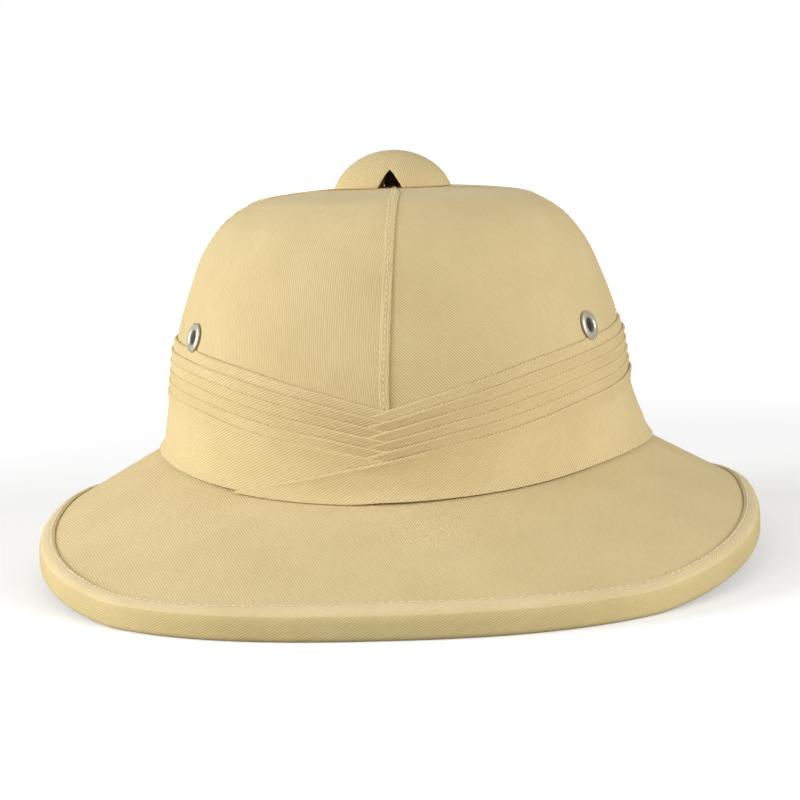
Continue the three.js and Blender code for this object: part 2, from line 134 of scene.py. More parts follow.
def footRadius(turn):
    return planRadius(turn, crown["halfWidth"], crown["halfLength"], 2)


def wallRadius(turn, height):
    foot = footHeight(turn)
    rise = np.clip((height - foot) / (crown["top"] - foot), 0, 1)
    return footRadius(turn) * along(crown["shape"], "rise", "width", rise)


# Length round the crown's foot from the front, so that cloth laid round it keeps its weave.
def footArc(turn):
    degree = np.radians(1)
    places = np.arange(-60, 421, 1.0)
    middles = (places[1:] + places[:-1]) / 2
    lengths = np.hypot(footRadius(middles), np.diff(footRadius(places)) / degree) * degree
    walked = np.concatenate([[0], np.cumsum(lengths)])
    return np.interp(turn, places, walked) - np.interp(0, places, walked)


# The turn from a place, between -180 and 180.
def turnFrom(turn, place=0):
    return (turn - place + 180) % 360 - 180


def isFront(turn):
    return np.cos(np.radians(turn)) > 0


def rimRadius(turn):
    front = planRadius(turn, brim["halfWidth"], brim["frontReach"], brim["frontRoundness"])
    rear = planRadius(turn, brim["halfWidth"], brim["rearReach"], brim["rearRoundness"])
    return np.where(isFront(turn), front, rear)


def rimLift(turn):
    reach = np.where(isFront(turn), brim["frontReach"], brim["rearReach"])
    power = np.where(isFront(turn), brim["frontLiftPower"], brim["rearLiftPower"])
    share = np.abs(rimRadius(turn) * np.cos(np.radians(turn))) / reach / brim["levelShare"]
    return brim["sideLift"] * (1 - np.minimum(1, share) ** power)


# Points in space from turns, radii and heights.
def spun(turn, radius, height):
    turn, radius, height = np.broadcast_arrays(turn, radius, height)
    angle = np.radians(turn)
    return np.stack([radius * np.sin(angle), axisY - radius * np.cos(angle), height], -1)


def crownPoint(turn, rise):
    foot = footHeight(turn)
    radius = footRadius(turn) * along(crown["shape"], "rise", "width", rise)
    return spun(turn, radius, foot + rise * (crown["top"] - foot))


# Points on the moulded crown, moved straight out of it by a lift.
def crownSurface(turn, rise, lift):
    turnStep = 0.5
    riseStep = 0.003
    sideways = crownPoint(turn + turnStep, rise) - crownPoint(turn - turnStep, rise)
    above = crownPoint(turn, np.minimum(rise + riseStep, 1))
    below = crownPoint(turn, np.maximum(rise - riseStep, 0))
    out = np.cross(sideways, above - below)
    out /= np.linalg.norm(out, axis=-1, keepdims=True)
    return crownPoint(turn, rise) + out * np.asarray(lift)[..., None]


# Points at given heights, moved level out of the crown's wall by a lift.
def offWall(turn, height, lift):
    return spun(turn, wallRadius(turn, height) + lift, height)


# How far a rounded edge falls back at a distance from the edge.
def rolled(distance, radius):
    inside = np.clip(radius - distance, 0, radius)
    return radius - np.sqrt(radius**2 - inside**2)


waves = {"count": 6, "shortest": 0.6, "longest": 1.8}


# Slow random waves that are the same on each run.
def unevenness(u, v, length, seed):
    rng = np.random.default_rng(seed)
    total = 0
    for _ in range(waves["count"]):
        direction = rng.uniform(0, 2 * np.pi)
        phase = rng.uniform(0, 2 * np.pi)
        wave = length * rng.uniform(waves["shortest"], waves["longest"])
        place = u * np.cos(direction) + v * np.sin(direction)
        total = total + np.sin(place * 2 * np.pi / wave + phase)
    return total / waves["count"]


def steps(*stretches):
    parts = [np.linspace(start, end, count, endpoint=False) for start, end, count in stretches]
    return np.concatenate(parts + [[stretches[-1][1]]])


# Lengths along the rows of a grid, from its first row.
def lengthDown(grid):
    stretch = np.linalg.norm(np.diff(grid, axis=1), axis=-1)
    return np.concatenate([np.zeros((grid.shape[0], 1)), np.cumsum(stretch, axis=1)], axis=1)


def lengthRound(grid):
    stretch = np.linalg.norm(np.diff(grid, axis=0), axis=-1)
    return np.concatenate([np.zeros((1, grid.shape[1])), np.cumsum(stretch, axis=0)], axis=0)


def addObject(name, data):
    thing = bpy.data.objects.new(name, data)
    bpy.context.scene.collection.objects.link(thing)
    return thing


def addPiece(name, points, faces, weave, material, nodes=()):
    mesh = bpy.data.meshes.new(name)
    mesh.from_pydata((points * mm).tolist(), [], faces.tolist())
    layer = mesh.uv_layers.new(name="weave")
    layer.data.foreach_set("uv", weave.astype(np.float32).ravel())
    mesh.polygons.foreach_set("use_smooth", np.ones(len(faces), bool))
    mesh.materials.append(material)
    mesh.update()
    piece = addObject(name, mesh)
    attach(piece, "root")
    if nodes:
        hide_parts(*nodes)
    return piece


# A wall of cloth or board between an outer and an inner grid of points. A grid has one column for
# each turn and one row for each place down the section. The weave grid holds flat cloth sizes.
def addWall(name, outer, inner, weave, goesRound, material, nodes=()):
    columns, rows = outer.shape[:2]
    spans = columns if goesRound else columns - 1
    faceSets = []

    # each corner is a column, a row and a side: 0 for the outer grid, 1 for the inner one
    def addFaces(corners, flip=False):
        if flip:
            corners = corners[::-1]
        faces = np.stack([(c % columns) * rows + r + side * columns * rows for c, r, side in corners], -1)
        places = np.stack([np.stack([c, r], -1) for c, r, _ in corners], -2)
        faceSets.append((faces.reshape(-1, 4), places.reshape(-1, 4, 2)))

    c, r = np.meshgrid(np.arange(spans), np.arange(rows - 1), indexing="ij")
    addFaces([(c, r, 0), (c, r + 1, 0), (c + 1, r + 1, 0), (c + 1, r, 0)])
    addFaces([(c, r, 1), (c + 1, r, 1), (c + 1, r + 1, 1), (c, r + 1, 1)])
    c = np.arange(spans)
    for row, flip in ((0, False), (rows - 1, True)):
        r = np.full(spans, row)
        addFaces([(c, r, 0), (c + 1, r, 0), (c + 1, r, 1), (c, r, 1)], flip)
    if not goesRound:
        r = np.arange(rows - 1)
        for column, flip in ((0, True), (columns - 1, False)):
            c = np.full(rows - 1, column)
            addFaces([(c, r, 0), (c, r + 1, 0), (c, r + 1, 1), (c, r, 1)], flip)
    faces = np.concatenate([f[0] for f in faceSets])
    places = np.concatenate([f[1] for f in faceSets])
    uv = weave[places[..., 0], places[..., 1]]
    points = np.concatenate([outer.reshape(-1, 3), inner.reshape(-1, 3)])
    return addPiece(name, points, faces, uv, material, nodes)


# Gives a second material to faces of a piece: the marks say which, from a first face on.
def addSecondMaterial(piece, material, firstFace, marks):
    slots = np.zeros(len(piece.data.polygons), int)
    slots[firstFace : firstFace + len(marks)] = marks
    piece.data.materials.append(material)
    piece.data.polygons.foreach_set("material_index", slots)


def addGroup(name, inputs, outputs):
    group = bpy.data.node_groups.new(name, "ShaderNodeTree")
    for socketName, kind, value in inputs:
        socket = group.interface.new_socket(socketName, in_out="INPUT", socket_type=kind)
        if value is not None:
            socket.default_value = value
    for socketName, kind in outputs:
        group.interface.new_socket(socketName, in_out="OUTPUT", socket_type=kind)
    return group, group.nodes.new("NodeGroupInput"), group.nodes.new("NodeGroupOutput")


def mathNode(tree, operation, *values, clamp=False):
    node = tree.nodes.new("ShaderNodeMath")
    node.operation = operation
    node.use_clamp = clamp
    for socket, value in zip(node.inputs, values):
        if isinstance(value, (int, float)):
            socket.default_value = value
        else:
            tree.links.new(value, socket)
    return node.outputs[0]


def noiseNode(tree, vector, scale, detail=2.0, roughness=0.5):
    node = tree.nodes.new("ShaderNodeTexNoise")
    node.inputs["Scale"].default_value = scale
    node.inputs["Detail"].default_value = detail
    node.inputs["Roughness"].default_value = roughness
    tree.links.new(vector, node.inputs["Vector"])
    return node.outputs["Fac"]


def setInputs(node, values):
    for socketName, value in values.items():
        node.inputs[socketName].default_value = value


# A tone between two others. Each of the two is a colour or another node's socket.
def mixTones(tree, share, deep, light):
    mixer = tree.nodes.new("ShaderNodeMix")
    mixer.data_type = "RGBA"
    tree.links.new(share, mixer.inputs["Factor"])
    for socketName, tone in (("A", deep), ("B", light)):
        if isinstance(tone, tuple):
            mixer.inputs[socketName].default_value = tone
        else:
            tree.links.new(tone, mixer.inputs[socketName])
    return mixer.outputs["Result"]


def addRelief(tree, height, distance, strength):
    bump = tree.nodes.new("ShaderNodeBump")
    setInputs(bump, {"Strength": strength, "Distance": distance})
    tree.links.new(height, bump.inputs["Height"])
    tree.links.new(bump.outputs["Normal"], tree.nodes["Principled BSDF"].inputs["Normal"])


# A smooth change from one value to another between two places.
def addRamp(tree, place, start, end, startValue, endValue):
    ramp = tree.nodes.new("ShaderNodeMapRange")
    ramp.interpolation_type = "SMOOTHSTEP"
    setInputs(ramp, {"From Min": start, "From Max": end, "To Min": startValue, "To Max": endValue})
    tree.links.new(place, ramp.inputs["Value"])
    return ramp.outputs["Result"]


def newMaterial(name):
    material = bpy.data.materials.new(name)
    material.use_nodes = True
    return material, material.node_tree, material.node_tree.nodes["Principled BSDF"]


weaveDetail = {
    "swayScale": 0.12,
    "sway": 0.5,
    "threadDepth": 0.3,
    # painted shade between the crossing threads
    "paintedThreadShade": 0.22,
    "slubStretch": (0.18, 1.6, 1),  # slubs are long along the ribs
    "slubRise": 0.5,
    "slubTone": 0.7,
    "slubNoise": (3.0, 0.6),  # detail and roughness
    "patchScale": 0.03,
    "patchTone": 0.6,
    "patchNoise": (3.0, 0.55),
}


# Twill: slanting ribs made of short threads, with slubs along them and large faint patches. The grooves
# between ribs and between threads get a painted shade; slubs and patches vary the tone at random.
def makeTwillGroup():
    group, start, end = addGroup(
        "twillWeave",
        [
            ("Weave", "NodeSocketVector", None),
            ("Rib angle", "NodeSocketFloat", 0.8),
            ("Rib spacing", "NodeSocketFloat", 0.95),
            ("Thread spacing", "NodeSocketFloat", 0.6),
            ("Painted rib shade", "NodeSocketFloat", 0.5),
            ("Deep tone", "NodeSocketColor", (0.5, 0.4, 0.2, 1)),
            ("Light tone", "NodeSocketColor", (0.6, 0.5, 0.3, 1)),
        ],
        [("Color", "NodeSocketColor"), ("Height", "NodeSocketFloat")],
    )
    links = group.links
    place = start.outputs["Weave"]

    def calc(operation, *values, clamp=False):
        return mathNode(group, operation, *values, clamp=clamp)

    # 0 between two ribs or threads and 1 on top of one
    def crest(count):
        return calc("MULTIPLY_ADD", calc("COSINE", calc("MULTIPLY", count, 2 * np.pi)), 0.5, 0.5)

    def toneChange(share, amount):
        return calc("MULTIPLY", calc("SUBTRACT", share, 0.5), amount)

    rotate = group.nodes.new("ShaderNodeVectorRotate")
    rotate.rotation_type = "Z_AXIS"
    links.new(place, rotate.inputs["Vector"])
    links.new(calc("MULTIPLY", start.outputs["Rib angle"], -1.0), rotate.inputs["Angle"])
    split = group.nodes.new("ShaderNodeSeparateXYZ")
    links.new(rotate.outputs["Vector"], split.inputs["Vector"])
    sway = calc("MULTIPLY", noiseNode(group, place, weaveDetail["swayScale"]), weaveDetail["sway"])
    ribCount = calc("DIVIDE", calc("ADD", split.outputs["Y"], sway), start.outputs["Rib spacing"])
    threadCount = calc("DIVIDE", split.outputs["X"], start.outputs["Thread spacing"])
    threadCount = calc("ADD", threadCount, calc("MULTIPLY", ribCount, 0.5))
    rib = crest(ribCount)
    crossThread = crest(threadCount)
    depth = weaveDetail["threadDepth"]
    height = calc("MULTIPLY", rib, calc("ADD", calc("MULTIPLY", crossThread, depth), 1 - depth))
    stretch = group.nodes.new("ShaderNodeMapping")
    setInputs(stretch, {"Scale": weaveDetail["slubStretch"]})
    links.new(rotate.outputs["Vector"], stretch.inputs["Vector"])
    slub = noiseNode(group, stretch.outputs["Vector"], 1.0, *weaveDetail["slubNoise"])
    patch = noiseNode(group, place, weaveDetail["patchScale"], *weaveDetail["patchNoise"])
    # painted shade: the tone is darker between the ribs and between the threads, where shade falls
    paintedRibShading = toneChange(rib, start.outputs["Painted rib shade"])
    tone = calc("ADD", paintedRibShading, toneChange(crossThread, weaveDetail["paintedThreadShade"]))
    tone = calc("ADD", calc("ADD", tone, 0.5), toneChange(slub, weaveDetail["slubTone"]))
    tone = calc("ADD", tone, toneChange(patch, weaveDetail["patchTone"]), clamp=True)
    color = mixTones(group, tone, start.outputs["Deep tone"], start.outputs["Light tone"])
    links.new(color, end.inputs["Color"])
    height = calc("ADD", height, calc("MULTIPLY", slub, weaveDetail["slubRise"]))
    links.new(height, end.inputs["Height"])
    return group


def linear(red, green, blue):
    values = [c / 255 for c in (red, green, blue)]
    return tuple(c / 12.92 if c < 0.04045 else ((c + 0.055) / 1.055) ** 2.4 for c in values) + (1.0,)


twillGroup = makeTwillGroup()

twill = {
    "ribSpacing": 0.86,
    "threadSpacing": 0.66,
    # strength of the painted shade between the ribs
    "ribContrast": 0.75,
    "relief": 0.00016,
    "reliefStrength": 0.55,
    "deepTone": linear(203, 180, 125),
    "lightTone": linear(237, 216, 165),
    "roughness": 0.88,
    "sheen": 0.12,
    "specular": 0.25,
}


def makeTwill(name, ribAngle, **changes):
    values = {**twill, **changes}
    material, tree, shader = newMaterial(name)
    uv = tree.nodes.new("ShaderNodeUVMap")
    uv.uv_map = "weave"
    weave = tree.nodes.new("ShaderNodeGroup")
    weave.node_tree = twillGroup
    tree.links.new(uv.outputs["UV"], weave.inputs["Weave"])
    tree.links.new(weave.outputs["Color"], shader.inputs["Base Color"])
    addRelief(tree, weave.outputs["Height"], values["relief"], values["reliefStrength"])
    setInputs(
        weave,
        {
            "Rib angle": np.radians(ribAngle),
            "Rib spacing": values["ribSpacing"],
            "Thread spacing": values["threadSpacing"],
            "Painted rib shade": values["ribContrast"],
            "Deep tone": values["deepTone"],
            "Light tone": values["lightTone"],
        },
    )
    setInputs(
        shader,
        {
            "Roughness": values["roughness"],
            "Sheen Weight": values["sheen"],
            "Specular IOR Level": values["specular"],
        },
    )
    return material


grain = {
    "detail": 4.0,
    "coarseness": 0.6,
    "relief": 0.0001,
    "reliefStrength": 0.3,
    "roughnessSpread": 0.15,
    "roughnessDrop": 0.07,
}


# A plain surface with a grain: board, thread, metal and the dark inside of the vent cap.
def makeGrained(name, deep, light, scale, roughness, metallic=0.0):
    material, tree, shader = newMaterial(name)
    place = tree.nodes.new("ShaderNodeTexCoord")
    speck = noiseNode(tree, place.outputs["Object"], scale, grain["detail"], grain["coarseness"])
    tree.links.new(mixTones(tree, speck, deep, light), shader.inputs["Base Color"])
    addRelief(tree, speck, grain["relief"], grain["reliefStrength"])
    smoothest = roughness - grain["roughnessDrop"]
    rough = mathNode(tree, "MULTIPLY_ADD", speck, grain["roughnessSpread"], smoothest)
    tree.links.new(rough, shader.inputs["Roughness"])
    setInputs(shader, {"Metallic": metallic})
    return material


board = makeGrained("moulded_board", linear(150, 128, 90), linear(196, 174, 132), 900, 0.9)
thread = makeGrained("sewing_thread", linear(232, 215, 175), linear(250, 238, 210), 2500, 0.8)
eyeletMetal = makeGrained("eyelet_metal", linear(204, 198, 178), linear(238, 233, 216), 500, 0.34, 0.65)
steel = makeGrained("brushed_steel", linear(96, 94, 90), linear(128, 126, 122), 700, 0.65, 1.0)
capInsideGlow = makeGrained("cap_inside_painted_glow", linear(84, 48, 28), linear(118, 66, 40), 800, 0.85)
# painted light: the inside of the vent cap glows dim brown, though it is no lamp
setInputs(
    capInsideGlow.node_tree.nodes["Principled BSDF"],
    {"Emission Color": linear(84, 50, 26), "Emission Strength": 0.5},
)
print("materials made")


columnStep = 1.5  # degrees between the columns of a wall
roundTurns = np.arange(0, 360, columnStep)
wholeTurns = np.append(roundTurns, 360.0)
crownRises = np.sin(np.linspace(0, 1, 90) * np.pi / 2) * crown["highestRow"]


# Flat places on cloth that goes up the crown, measured round it from a middle turn.
def crownWeave(turns, rises, middle=0):
    grid = crownPoint(turns, rises)
    radius = np.hypot(grid[..., 0], grid[..., 1] - axisY)
    return np.stack([np.radians(turns - middle) * radius, lengthDown(grid)], -1)


def addCrownShell():
    turns = roundTurns[:, None]
    rises = crownRises[None, :]
    outer = crownSurface(turns, rises, np.zeros((1, 1)))
    inner = crownSurface(turns, rises, np.full((1, 1), -crown["wall"]))
    weave = crownWeave(wholeTurns[:, None], rises)
    return addWall("crown_shell", outer, inner, weave, True, board, ["crown_shell"])


binding = {
    "rimHeight": 9.8,
    "thickness": 1.2,
    "topWidth": 6.3,
    "frontWider": 2.5,
    "widestTurn": 4.0,  # where the top strip is widest
    "widerReach": 28.0,
    "underWidth": 13.0,
    "round": 1.6,
    "restWidth": 5.0,
    "topCorner": 3.8,
    "lowCorner": 2.2,
    "foldCorner": 0.7,
    "edgeCorner": 0.4,
    "rampCorner": 0.6,
    "levelCorner": 1.0,
    "innerCorner": 0.2,
    "innerTopCorner": 1.4,
    "innerLowCorner": 1.2,
    "innerLevelCorner": 0.6,
    "edgeRise": 0.35,
    "edgeRamp": 1.8,
    "edgeSink": 0.05,
    "edgeInset": 0.4,
    "topInset": 1.2,
    "underInset": 1.0,
    "rampDrop": 0.1,
    "topRows": 16,  # rows of the section that make the top strip
    "weave": {"ribAngle": 27, "ribSpacing": 0.78},
    "sideTones": {"deepTone": linear(200, 178, 119), "lightTone": linear(234, 213, 157)},
    # the top strip's paler tones are a painted highlight
    "paintedLitTopTones": {
        "deepTone": linear(214, 192, 139),
        "lightTone": linear(245, 226, 178),
        "ribContrast": 0.55,
    },
}


# Where the brim's board ends, inside the binding.
def boardEdge(turn):
    return rimRadius(turn) - binding["thickness"] - cloth["clearance"]


# The board's underside is level from here to the edge, where the hat rests.
def levelStart(turn):
    return rimRadius(turn) - binding["round"] - binding["restWidth"]


def levelHeight(turn):
    return rimLift(turn) + binding["thickness"] + cloth["clearance"]


# The brim's upper side: a share out from the crown's foot to the edge.
def brimPoint(turn, out):
    bindingTop = rimLift(turn) + binding["rimHeight"]
    edgeHeight = bindingTop - binding["thickness"] - cloth["clearance"] - clothSkin
    beyond = (out - brim["rootShare"]) / (1 - brim["rootShare"])
    near = out * brim["rootDrop"] / brim["rootShare"]
    drop = np.where(beyond < 0, near, brim["rootDrop"] + (1 - brim["rootDrop"]) * beyond)
    radius = footRadius(turn) + (boardEdge(turn) - footRadius(turn)) * out
    return radius, footHeight(turn) + (edgeHeight - footHeight(turn)) * drop


def brimHeight(turn, radius):
    foot = footRadius(turn)
    return brimPoint(turn, (radius - foot) / (boardEdge(turn) - foot))[1]


def underHeight(turn, radius):
    middle, middleHeight = brimPoint(turn, 0.5)
    share = (levelStart(turn) - radius) / (levelStart(turn) - middle)
    return levelHeight(turn) + (middleHeight - brim["thickness"] - levelHeight(turn)) * share


def addBrimShell():
    outs = np.linspace(0, 1, brim["rows"])[None, :]

    def grids(turns):
        mouth = footRadius(turns) - crown["wall"]
        radius = mouth + (boardEdge(turns) - mouth) * outs
        middle, middleHeight = brimPoint(turns, 0.5)
        middleHeight = middleHeight - brim["thickness"]
        mouthHeight = footHeight(turns) - brim["thickness"]
        level = levelHeight(turns)
        inward = mouthHeight + (middleHeight - mouthHeight) * (radius - mouth) / (middle - mouth)
        outShare = (radius - middle) / (levelStart(turns) - middle)
        outward = middleHeight + (level - middleHeight) * outShare
        under = np.where(radius < middle, inward, np.maximum(outward, level))
        top = np.where(radius < footRadius(turns), footHeight(turns), brimHeight(turns, radius))
        return spun(turns, radius, top), spun(turns, radius, under)

    outer, inner = grids(roundTurns[:, None])
    weave = grids(wholeTurns[:, None])[0][..., :2]
    return addWall("brim_shell", outer, inner, weave, True, board, ["brim_shell"])


crownShell = addCrownShell()
addBrimShell()


eyelet = {
    "turn": 55.5,
    "height": 90.3,
    "flangeRadius": 5.7,
    "barrelRadius": 3.5,
    "boreRadius": 2.8,
    "flangeThickness": 0.9,
    "flangePower": 0.8,  # under 1 the flange is fuller
    "flangeLip": 0.25,
    "flangeHollow": 0.05,
    "clinchInset": 0.6,
    "clinchRound": 0.3,
    "seat": 0.5,
    "innerSeat": 0.9,
    "sides": 64,
    "flangeRows": 15,
    "holeRoom": 0.1,
    "cutterLength": 30.0,
    "cutterSides": 48,
}


def eyeletFrame(turn):
    def onCloth(place, height):
        return Vector(offWall(place, height, clothSkin).tolist())

    height = eyelet["height"]
    sideways = onCloth(turn + 1, height) - onCloth(turn - 1, height)
    upwards = onCloth(turn, height + 1) - onCloth(turn, height - 1)
    return onCloth(turn, height), sideways.cross(upwards).normalized()


eyeletPlaces = {
    "eyelet_front_left": -eyelet["turn"],
    "eyelet_front_right": eyelet["turn"],
    "eyelet_rear_left": eyelet["turn"] - 180,
    "eyelet_rear_right": 180 - eyelet["turn"],
}


def tidyNormals(piece):
    shape = bmesh.new()
    shape.from_mesh(piece.data)
    bmesh.ops.recalc_face_normals(shape, faces=shape.faces)
    shape.to_mesh(piece.data)
    shape.free()


def addEyelet(name, turn):
    point, out = eyeletFrame(turn)
    bore = eyelet["boreRadius"]
    lip = eyelet["flangeThickness"]
    hollow = eyelet["flangeHollow"]
    depth = eyelet["seat"] + clothSkin + crown["wall"] + eyelet["innerSeat"]
    ring = (eyelet["flangeRadius"] - bore) / 2
    middle = bore + ring
    clinch = eyelet["flangeRadius"] - eyelet["clinchInset"]
    inset = clinch - eyelet["clinchRound"]
    bend = np.radians(np.linspace(0, 180, eyelet["flangeRows"]))
    profile = [(middle + ring * np.cos(a), lip * np.sin(a) ** eyelet["flangePower"]) for a in bend]
    profile += [(bore, -depth - lip), (inset, -depth - lip), (clinch, -depth - lip / 2), (inset, -depth)]
    profile += [(eyelet["barrelRadius"], -depth), (eyelet["barrelRadius"], -hollow)]
    profile += [(middle + ring - eyelet["flangeLip"], -hollow)]
    radii, heights = np.array(profile).T
    count = eyelet["sides"]
    angles = (np.arange(count) * 2 * np.pi / count)[:, None]
    local = np.stack(np.broadcast_arrays(radii * np.cos(angles), radii * np.sin(angles), heights), -1)
    side = out.cross(Vector((0, 0, 1))).normalized()
    basis = np.array([side, side.cross(out), out])
    base = np.array(point) + np.array(out) * eyelet["seat"]
    points = (base + local @ basis).reshape(-1, 3)
    rows = len(profile)
    column, row = np.meshgrid(np.arange(count), np.arange(rows), indexing="ij")
    nextColumn = (column + 1) % count
    nextRow = (row + 1) % rows
    corners = [(column, row), (column, nextRow), (nextColumn, nextRow), (nextColumn, row)]
    faces = np.stack([c * rows + r for c, r in corners], -1).reshape(-1, 4)
    weave = np.zeros((len(faces), 4, 2))
    piece = addPiece(name, points, faces, weave, eyeletMetal, [name])
    tidyNormals(piece)
    return piece


# Cuts the eyelets' holes through a wall.
def cutEyeletHoles(piece, names):
    radius = (eyelet["barrelRadius"] + eyelet["holeRoom"]) * mm
    for name in names:
        point, out = eyeletFrame(eyeletPlaces[name])
        turned = Vector((0, 0, 1)).rotation_difference(out).to_matrix().to_4x4()
        shape = bmesh.new()
        bmesh.ops.create_cone(
            shape,
            cap_ends=True,
            segments=eyelet["cutterSides"],
            radius1=radius,
            radius2=radius,
            depth=eyelet["cutterLength"] * mm,
            matrix=Matrix.Translation(point * mm) @ turned,
        )
        cutterMesh = bpy.data.meshes.new("cutter")
        shape.to_mesh(cutterMesh)
        shape.free()
        cutter = addObject("cutter", cutterMesh)
        cut = piece.modifiers.new("hole", "BOOLEAN")
        cut.operation = "DIFFERENCE"
        cut.solver = "EXACT"
        cut.object = cutter
        evaluated = piece.evaluated_get(bpy.context.evaluated_depsgraph_get())
        holed = bpy.data.meshes.new_from_object(evaluated)
        piece.modifiers.clear()
        piece.data = holed
        bpy.data.objects.remove(cutter)


cutEyeletHoles(crownShell, eyeletPlaces)
for eyeletName, eyeletTurn in eyeletPlaces.items():
    addEyelet(eyeletName, eyeletTurn)
print("shells and eyelets made")


panel = {
    "span": 90,  # degrees round the crown
    "lapReach": 1.4,
    "lapWidth": 2.4,
    "lapRamp": 1.3,
    "lapRaise": 0.55,
    "tuck": -1.2,
    "fullRadius": 45.0,
    "edgeRoll": 0.5,
    "stitchInset": 1.9,
    "stitchDip": 0.34,
    "stitchDipWidth": 0.5,
    "seamLean": 6.0,
    "leanRise": 0.38,
    "uneven": 0.12,
    "unevenLength": 34,
}
panelStarts = {
    "crown_panel_front_left": {"start": -90, "ribAngle": 102, "ribContrast": 0.75},
    "crown_panel_front_right": {"start": 0, "ribAngle": -50, "ribContrast": 1.1},
    "crown_panel_rear_right": {"start": 90, "ribAngle": 102, "ribContrast": 0.75},
    "crown_panel_rear_left": {"start": 180, "ribAngle": -50, "ribContrast": 1.1},
}


def panelLift(fromEdge):
    ramp = smoothStep((panel["lapWidth"] + panel["lapRamp"] - fromEdge) / panel["lapRamp"])
    fromStitch = (fromEdge - panel["stitchInset"]) / panel["stitchDipWidth"]
    dip = panel["stitchDip"] * np.exp(-(fromStitch**2))
    return clothSkin + panel["lapRaise"] * ramp - dip - rolled(fromEdge, panel["edgeRoll"])


# Places across a panel. Its seams lean to one side towards the top, by a share at each place.
def panelTurns(turn, shift, rises, share=1.0):
    radius = footRadius(turn) * along(crown["shape"], "rise", "width", rises)
    lean = panel["seamLean"] * np.maximum(0, rises - panel["leanRise"])
    return turn + np.degrees((shift + lean * share) / np.maximum(radius, panel["fullRadius"]))


def addPanel(name, start, ribAngle, ribContrast):
    rises = crownRises[None, :]
    half = panel["span"] / 2
    end = start + panel["span"]
    # the first edge is tucked under its neighbour, and the last one laps over the next panel
    middleTurns = np.arange(start + 2 * columnStep, end - 8, columnStep)
    lapEnd = panel["lapReach"]
    endShifts = steps((-6, -3.8, 2), (-3.8, -2.0, 6), (-2.0, 0.0, 8), (0.0, 0.8, 3), (0.8, lapEnd, 8))
    turns = np.concatenate([[start], middleTurns, np.full(len(endShifts), end)])[:, None]
    shifts = np.concatenate([[panel["tuck"]], np.zeros(len(middleTurns)), endShifts])[:, None]
    fromEdge = np.where(turns < end, np.inf, lapEnd - shifts)
    placed = panelTurns(turns, shifts, rises, np.abs(1 - (turns - start) / half))
    weave = crownWeave(placed, np.broadcast_to(rises, placed.shape), start + half)
    wave = unevenness(weave[..., 0], weave[..., 1], panel["unevenLength"], start + 500)
    lift = panelLift(fromEdge) + panel["uneven"] * wave
    outer = crownSurface(placed, rises, lift)
    inner = crownSurface(placed, rises, np.full(lift.shape, cloth["clearance"]))
    material = makeTwill(name + "_twill", ribAngle, ribContrast=ribContrast)
    piece = addWall(name, outer, inner, weave, False, material, [name])
    cutEyeletHoles(piece, [name.replace("crown_panel", "eyelet")])
    return piece


for panelName, panelRow in panelStarts.items():
    addPanel(panelName, **panelRow)
print("crown panels made")


brimCover = {"rows": 40, "ribAngle": 111.5, "ribContrast": 0.7, "uneven": 0.1, "unevenLength": 40}


def addBrimCover():
    shares = np.linspace(0, 1, brimCover["rows"])[None, :]

    def grid(turns, rise):
        start = footRadius(turns) + clothSkin + cloth["clearance"]
        radius = start + (boardEdge(turns) - start) * shares
        angle = np.radians(turns)
        length = brimCover["unevenLength"]
        wave = unevenness(radius * np.sin(angle), radius * np.cos(angle), length, 77)
        return spun(turns, radius, brimHeight(turns, radius) + rise + brimCover["uneven"] * wave)

    outer = grid(roundTurns[:, None], clothSkin)
    inner = grid(roundTurns[:, None], cloth["clearance"])
    weave = grid(wholeTurns[:, None], clothSkin)[..., :2]
    material = makeTwill("brim_twill", brimCover["ribAngle"], ribContrast=brimCover["ribContrast"])
    return addWall("brim_cover", outer, inner, weave, True, material, ["brim_cover"])


# A line with its corners rounded. Each corner is (radius array, height array, rounding).
def roundedLine(corners, count=6):
    points = [np.stack(np.broadcast_arrays(c[0], c[1]), -1) for c in corners]
    line = [points[0]]
    for before, here, after, corner in zip(points, points[1:], points[2:], corners[1:]):
        into = before - here
        onward = after - here
        into = into / np.linalg.norm(into, axis=-1, keepdims=True)
        onward = onward / np.linalg.norm(onward, axis=-1, keepdims=True)
        first = here + into * corner[2]
        last = here + onward * corner[2]
        for t in np.linspace(0, 1, count):
            line.append((1 - t) ** 2 * first + 2 * t * (1 - t) * here + t * t * last)
    line.append(points[-1])
    return np.concatenate(line, axis=1)


# The binding's top strip is wider at the front.
def stripRadius(turn):
    away = np.abs(turnFrom(turn, binding["widestTurn"]))
    wider = binding["frontWider"] * smoothStep(1 - away / binding["widerReach"])
    return rimRadius(turn) - binding["topWidth"] - wider


